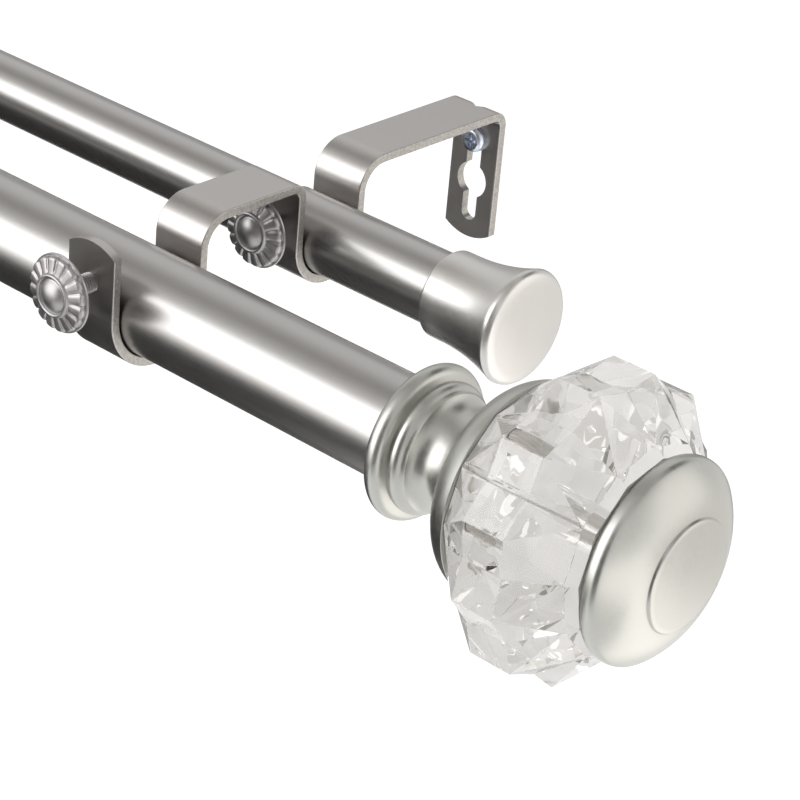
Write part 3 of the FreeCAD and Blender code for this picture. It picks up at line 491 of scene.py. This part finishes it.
def rosette_head():
    """The head, its rear face at the origin and its dome towards -Y."""
    petal_top = PETAL_RIM + PETAL_ROUND
    petal_outer = PETAL_REACH - PETAL_ROUND
    boss_level = petal_top + (petal_outer - BOSS_RADIUS) * PETAL_SLOPE
    slope = []
    for part in range(1, 8):
        radius = petal_outer + (BOSS_RADIUS - petal_outer) * part / 8
        slope.append((petal_top + (petal_outer - radius) * PETAL_SLOPE, radius))
    rise = HEAD_HEIGHT - DOME_LEVEL
    dome_bend = (DOME_RADIUS ** 2 + rise ** 2) / (2 * rise)
    dome_start = 90 - math.degrees(math.asin(DOME_RADIUS / dome_bend))
    profile = [
        (0, 0), (0, ROSETTE_RADIUS - FLANGE_EDGE), (FLANGE_EDGE, ROSETTE_RADIUS),
        (FLANGE - FLANGE_EDGE, ROSETTE_RADIUS), (FLANGE, ROSETTE_RADIUS - FLANGE_EDGE),
        (FLANGE, PETAL_REACH + 0.1), (FLANGE + 0.1, PETAL_REACH), (PETAL_RIM, PETAL_REACH),
        *rounded(PETAL_RIM, petal_outer, PETAL_ROUND, 18, 84, 4),
        *slope,
        (boss_level, BOSS_RADIUS + 0.05), (boss_level + 0.1, BOSS_RADIUS - 0.02),
        *rounded(RING_LEVEL, RING_MIDDLE, RING_ROUND, 0, 180, 8),
        (DOME_LEVEL - 0.02, DOME_RADIUS + 0.05),
        *rounded(HEAD_HEIGHT - dome_bend, 0, dome_bend, dome_start, 90, 10)[:-1],
        (HEAD_HEIGHT, 0),
    ]
    bm = spun(profile, PETALS * STEPS_PER_PETAL, Vector((0, -1, 0)))
    for vert in bm.verts:
        radius = math.hypot(vert.co.x, vert.co.z) / MM
        height = -vert.co.y / MM
        on_petals = BOSS_RADIUS - 0.1 <= radius <= PETAL_REACH + 0.05
        if not on_petals or height < FLANGE + 0.02 or height > RING_LEVEL + 0.1:
            continue
        turn = math.atan2(vert.co.z, vert.co.x) * PETALS / (2 * math.pi)
        off_middle = 2 * abs(turn - math.floor(turn) - 0.5)
        press = off_middle ** 4
        depth = max(min((radius - GROOVE_START) / GROOVE_RUN_IN, 1), 0)
        out = Vector((vert.co.x, 0, vert.co.z)).normalized()
        drop = PETAL_GROOVE * press * depth
        vert.co.y = -max(height - drop, FLANGE + 0.03) * MM
        if radius > petal_outer:
            vert.co -= out * RIM_SCALLOP * press * MM
    crisp(bm, angle=40)
    return bm


def threaded(bm, radius, start, end):
    """Adds a screw thread along +Y from start to end, closed at both ends."""
    turns = math.ceil((end - start) / THREAD_PITCH) + 2
    first = start - THREAD_PITCH
    root = radius - THREAD_DEPTH
    one_turn = ((0, root), (0.15, root), (0.42, radius), (0.58, radius), (0.85, root), (1, root))
    shank = bmesh.new()
    rim = [shank.verts.new((r * MM, (first + part * THREAD_PITCH) * MM, 0)) for part, r in one_turn]
    line = [shank.edges.new(pair) for pair in zip(rim, rim[1:])]
    bmesh.ops.spin(
        shank, geom=rim + line, cent=(0, 0, 0), axis=(0, 1, 0), dvec=(0, THREAD_PITCH * MM / THREAD_SIDES, 0),
        angle=2 * math.pi * turns, steps=THREAD_SIDES * turns,
    )
    bmesh.ops.remove_doubles(shank, verts=shank.verts, dist=0.002 * MM)
    for height, normal in ((start, (0, 1, 0)), (end, (0, -1, 0))):
        cut = bmesh.ops.bisect_plane(
            shank, geom=shank.verts[:] + shank.edges[:] + shank.faces[:],
            plane_co=(0, height * MM, 0), plane_no=normal, clear_inner=True,
        )
        loop = [item for item in cut["geom_cut"] if isinstance(item, bmesh.types.BMEdge)]
        bmesh.ops.holes_fill(shank, edges=loop)
    bmesh.ops.recalc_face_normals(shank, faces=shank.faces)
    crisp(shank, angle=50)
    added = bpy.data.meshes.new("shank")
    shank.to_mesh(added)
    shank.free()
    bm.from_mesh(added)
    bpy.data.meshes.remove(added)


for side in ("right", "left"):
    for pole in ("front", "back"):
        node = f"{side}_{pole}_thumbscrew"
        low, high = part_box(node)
        bm = rosette_head()
        threaded(bm, SHANK_RADIUS, 0, (high[1] - low[1]) / MM - HEAD_HEIGHT)
        middle = ((low[0] + high[0]) / 2, low[1] + HEAD_HEIGHT * MM, (low[2] + high[2]) / 2)
        bmesh.ops.translate(bm, verts=bm.verts, vec=middle)
        stand_in_for(piece_from(bm, f"{node}_cast", rosette_nickel), node, f"{side}_{pole}_screw")


# Wall screws: pan heads with a cross recess, cold-headed from steel and plated in bright bluish zinc.
# One goes through the top of each keyhole into the wall and carries the bracket.

bright_zinc = satin_metal(
    "bright_zinc", colour=(0.62, 0.67, 0.76), roughness=(0.22, 0.36),
    grain_scale=(300, 300, 300), cloud_scale=(200, 200, 200), bump=0.2, mottle=0.12,
)
for side in ("right", "left"):
    dress(f"{side}_wall_screw", bright_zinc)


# Finial collars: cast and turned in one piece with the plug in the tube's end, painted a warm satin nickel.
# From the tube outwards: a round bead, a ring, a cove to the neck, a cup and a wide lip.

COLLAR_LENGTH = 30.1
LIP_RADIUS = 25.6
PLUG_LENGTH = 16
SOCKET_DEPTH = 7.5
STEM_RADIUS = 3.05
STEM_SEAT = 8
FINIAL_SIDES = 160

front_low, front_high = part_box("front_outer_tube")
front_axis = Vector((0, (front_low[1] + front_high[1]) / 2, (front_low[2] + front_high[2]) / 2))

finial_nickel = satin_metal(
    "finial_nickel", colour=(0.46, 0.46, 0.43), roughness=(0.30, 0.38),
    grain_scale=(900, 900, 900), cloud_scale=(120, 120, 120), bump=0.25, mottle=0.06,
)


def bow(start, end, radius, turn, count=10):
    """Points from start up to but not including end, on an arc that turns left or right."""
    chord = Vector(end) - Vector(start)
    rise = math.sqrt(max(radius ** 2 - (chord.length / 2) ** 2, 0))
    across = Vector((-chord.y, chord.x)).normalized() * (rise if turn == "left" else -rise)
    centre = (Vector(start) + Vector(end)) / 2 + across
    first = Vector(start) - centre
    turned_by = -first.angle_signed(Vector(end) - centre)
    if turn == "left" and turned_by < 0:
        turned_by += 2 * math.pi
    if turn == "right" and turned_by > 0:
        turned_by -= 2 * math.pi
    points = []
    for step in range(count):
        spot = centre + Matrix.Rotation(turned_by * step / count, 2) @ first
        points.append((spot.x, spot.y))
    return points


def outward(bm, side, start, axis):
    """Puts a piece that was turned about the origin on its own end of a pole."""
    if side == "left":
        bmesh.ops.rotate(bm, verts=bm.verts, cent=(0, 0, 0), matrix=Matrix.Rotation(math.pi, 3, "Z"))
    bmesh.ops.translate(bm, verts=bm.verts, vec=(start, axis.y, axis.z))


for side, body, bore, plug, start in (
    ("right", "root", 13.0, 12.05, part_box("right_finial_collar")[1][0] - COLLAR_LENGTH * MM),
    ("left", "front_extension", 12.35, 11.4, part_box("left_finial_collar")[0][0] + COLLAR_LENGTH * MM),
):
    stem_end = COLLAR_LENGTH - STEM_SEAT
    bm = spun([
        (-PLUG_LENGTH, 0), (-PLUG_LENGTH, plug - 0.4), (0.4 - PLUG_LENGTH, plug),
        (SOCKET_DEPTH, plug), (SOCKET_DEPTH, bore), (0.2, bore), (0, bore + 0.2),
        *bow((0, 16.1), (2.6, 18.7), 2.6, "right"),
        *bow((2.6, 18.7), (4.9, 16.9), 2.6, "right"),
        (4.9, 16.9),
        *bow((5.3, 15.6), (8.2, 14.8), 2.2, "right", 6),
        *bow((8.2, 14.8), (9.3, 14.2), 2.2, "left", 3),
        *bow((9.3, 14.2), (14.2, 11.4), 5.6, "left", 12),
        *bow((14.2, 11.4), (22.4, 19), 8.2, "left", 16),
        (22.4, 19), (22.6, 19.3),
        *bow((22.9, 20.8), (COLLAR_LENGTH, LIP_RADIUS), 11, "right", 12),
        (COLLAR_LENGTH - 0.15, LIP_RADIUS), (COLLAR_LENGTH, LIP_RADIUS - 0.15),
        (COLLAR_LENGTH, STEM_RADIUS), (stem_end, STEM_RADIUS), (stem_end, 0),
    ], FINIAL_SIDES)
    outward(bm, side, start, front_axis)
    crisp(bm)
    piece = piece_from(bm, f"{side}_finial_collar_turned", finial_nickel)
    stand_in_for(piece, f"{side}_finial_collar", body)


# Front caps and hidden studs: a domed cap with a raised button, painted like the collar, closes each finial.
# A bright steel stud runs through the crystal's bore and holds the cap and the collar together.

CAP_LENGTH = 12.3
CAP_SEAT = 6
CAP_RADIUS = 23.8

stem_steel = satin_metal(
    "stem_steel", colour=(0.95, 0.945, 0.93), roughness=(0.08, 0.16),
    grain_scale=(1200, 300, 300), cloud_scale=(150, 150, 150), bump=0.2, mottle=0.08,
)

for side, body, start in (
    ("right", "root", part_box("right_finial_cap")[1][0] - CAP_LENGTH * MM),
    ("left", "front_extension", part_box("left_finial_cap")[0][0] + CAP_LENGTH * MM),
):
    bm = spun([
        (CAP_SEAT, 0), (CAP_SEAT, STEM_RADIUS), (0, STEM_RADIUS),
        *bow((0, 21.9), (2.7, CAP_RADIUS), 2.6, "right", 8),
        *bow((2.9, CAP_RADIUS), (4.74, 23.04), 2.6, "right", 6),
        *bow((4.74, 23.04), (10.3, 13.3), 21.2, "right", 16),
        (10.3, 13.3), (10.32, 13.15),
        *bow((10.4, 13.1), (11, 12.7), 0.9, "right", 4),
        *bow((11, 12.7), (CAP_LENGTH, 0), 62.7, "right", 12),
        (CAP_LENGTH, 0),
    ], FINIAL_SIDES)
    outward(bm, side, start, front_axis)
    crisp(bm)
    piece = piece_from(bm, f"{side}_finial_cap_turned", finial_nickel)
    stand_in_for(piece, f"{side}_finial_cap", body)
    dress(f"{side}_finial_stem", stem_steel)


# Crystals: clear acrylic, moulded with twelve fluted sides between two rings of peaks.
# The moulding left its facets slightly wavy and their corners a little soft.
# Each is held between collar and cap, with a breath of air between it and the metal.

AIR_GAP = 0.12
CORNER_ROUND = 0.1
BORE_REACH = 5
SAME_CORNER = 0.001
FLAT_ANGLE = math.radians(1)
CORNER_ANGLE = math.radians(2)
REFRACTION = 1.49
HAZE_SCALE = 60
HAZE_DARK = (0.56, 0.545, 0.525, 1)
HAZE_PALE = (0.74, 0.724, 0.703, 1)
WAVE_SCALE = 60
WAVE_HEIGHT = 0.8
LAST_MIRRORING = 3.5
NO_PAINTED_GLOW = (0, 0, 0, 1)
PAINTED_INNER_GLOW = (0.38, 0.372, 0.36, 1)

clear_acrylic = bpy.data.materials.new("clear_acrylic")
clear_acrylic.use_nodes = True
acrylic_tree = clear_acrylic.node_tree
acrylic_shader = acrylic_tree.nodes["Principled BSDF"]
acrylic_shader.inputs["Roughness"].default_value = 0.0
acrylic_shader.inputs["IOR"].default_value = REFRACTION
acrylic_shader.inputs["Transmission Weight"].default_value = 1.0
# Emission here carries a painted glow, set up below; the crystal is no lamp.
acrylic_shader.inputs["Emission Strength"].default_value = 1.0
haze = mapped(acrylic_tree, surface_noise(acrylic_tree, HAZE_SCALE), NOISE_LOW, NOISE_HIGH, 0, 1)
feed(acrylic_tree, mixed(acrylic_tree, haze, HAZE_DARK, HAZE_PALE), acrylic_shader.inputs["Base Color"])
waves = acrylic_tree.nodes.new("ShaderNodeBump")
waves.inputs["Strength"].default_value = 1.0
waves.inputs["Distance"].default_value = WAVE_HEIGHT * MM
feed(acrylic_tree, surface_noise(acrylic_tree, WAVE_SCALE, detail=1.0), waves.inputs["Height"])
feed(acrylic_tree, waves.outputs["Normal"], acrylic_shader.inputs["Normal"])
# Painted light: where a ray has mirrored more than LAST_MIRRORING times inside the crystal, its surface glows a
# pale grey in place of light that the renderer cuts off.
bounces = acrylic_tree.nodes.new("ShaderNodeLightPath")
painted_glow_mask = maths(acrylic_tree, "GREATER_THAN", bounces.outputs["Glossy Depth"], LAST_MIRRORING)
feed(acrylic_tree, mixed(acrylic_tree, painted_glow_mask, NO_PAINTED_GLOW, PAINTED_INNER_GLOW), acrylic_shader.inputs["Emission Color"])


def from_front_axis(vert):
    """How far a corner is from the middle of the front pole."""
    return math.hypot(vert.co.y - front_axis.y, vert.co.z - front_axis.z)


for side, body in (("right", "root"), ("left", "front_extension")):
    node = f"{side}_finial_crystal"
    bm = bmesh.new()
    bm.from_mesh(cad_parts[node].data)
    bmesh.ops.remove_doubles(bm, verts=bm.verts, dist=SAME_CORNER * MM)
    bmesh.ops.dissolve_limit(bm, angle_limit=FLAT_ANGLE, verts=bm.verts, edges=bm.edges)
    corners = [
        edge for edge in bm.edges
        if edge.calc_face_angle(0) > CORNER_ANGLE
        and min(from_front_axis(vert) for vert in edge.verts) > BORE_REACH * MM
    ]
    bmesh.ops.bevel(
        bm, geom=corners, offset=CORNER_ROUND * MM, offset_type="OFFSET", segments=2, profile=0.5,
        affect="EDGES", material=-1, clamp_overlap=True,
    )
    low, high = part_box(node)
    for vert in bm.verts:
        if vert.co.x - low[0] < AIR_GAP * MM:
            vert.co.x = low[0] + AIR_GAP * MM
        elif high[0] - vert.co.x < AIR_GAP * MM:
            vert.co.x = high[0] - AIR_GAP * MM
    for face in bm.faces:
        face.smooth = False
    stand_in_for(piece_from(bm, f"{side}_finial_crystal_clear", clear_acrylic), node, body)


# End caps: trumpet-shaped metal pieces with a socket, turned and painted a soft satin nickel.
# They are pushed over the ends of the back pole and flare to a softly rounded face.

TRUMPET_LENGTH = 26.2
TRUMPET_DEPTH = 18
TRUMPET_MOUTH = 11.4
TRUMPET_SIDES = 144

back_low, back_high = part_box("back_outer_tube")
back_axis = Vector((0, (back_low[1] + back_high[1]) / 2, (back_low[2] + back_high[2]) / 2))

end_nickel = satin_metal(
    "end_nickel", colour=(0.58, 0.568, 0.548), roughness=(0.30, 0.38),
    grain_scale=(900, 900, 900), cloud_scale=(120, 120, 120), bump=0.1, mottle=0.03,
)

for side, body, bore, start in (
    ("right", "root", 9.8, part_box("right_end_cap")[1][0] - TRUMPET_LENGTH * MM),
    ("left", "back_extension", 9.25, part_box("left_end_cap")[0][0] + TRUMPET_LENGTH * MM),
):
    bm = spun([
        (TRUMPET_DEPTH, 0), (TRUMPET_DEPTH, bore), (0.15, bore), (0, bore + 0.15),
        *bow((0, 10.7), (0.7, TRUMPET_MOUTH), 0.7, "right", 5),
        (0.7, TRUMPET_MOUTH),
        *bow((4, TRUMPET_MOUTH), (22.9, 14.89), 52.9, "left", 20),
        *bow((22.9, 14.89), (24.793, 13.574), 2, "right", 8),
        *bow((24.793, 13.574), (25.28, 11.69), 10.15, "right", 6),
        *bow((25.28, 11.69), (TRUMPET_LENGTH, 0), 74.7, "right", 10),
        (TRUMPET_LENGTH, 0),
    ], TRUMPET_SIDES)
    outward(bm, side, start, back_axis)
    crisp(bm)
    stand_in_for(piece_from(bm, f"{side}_end_cap_turned", end_nickel), f"{side}_end_cap", body)
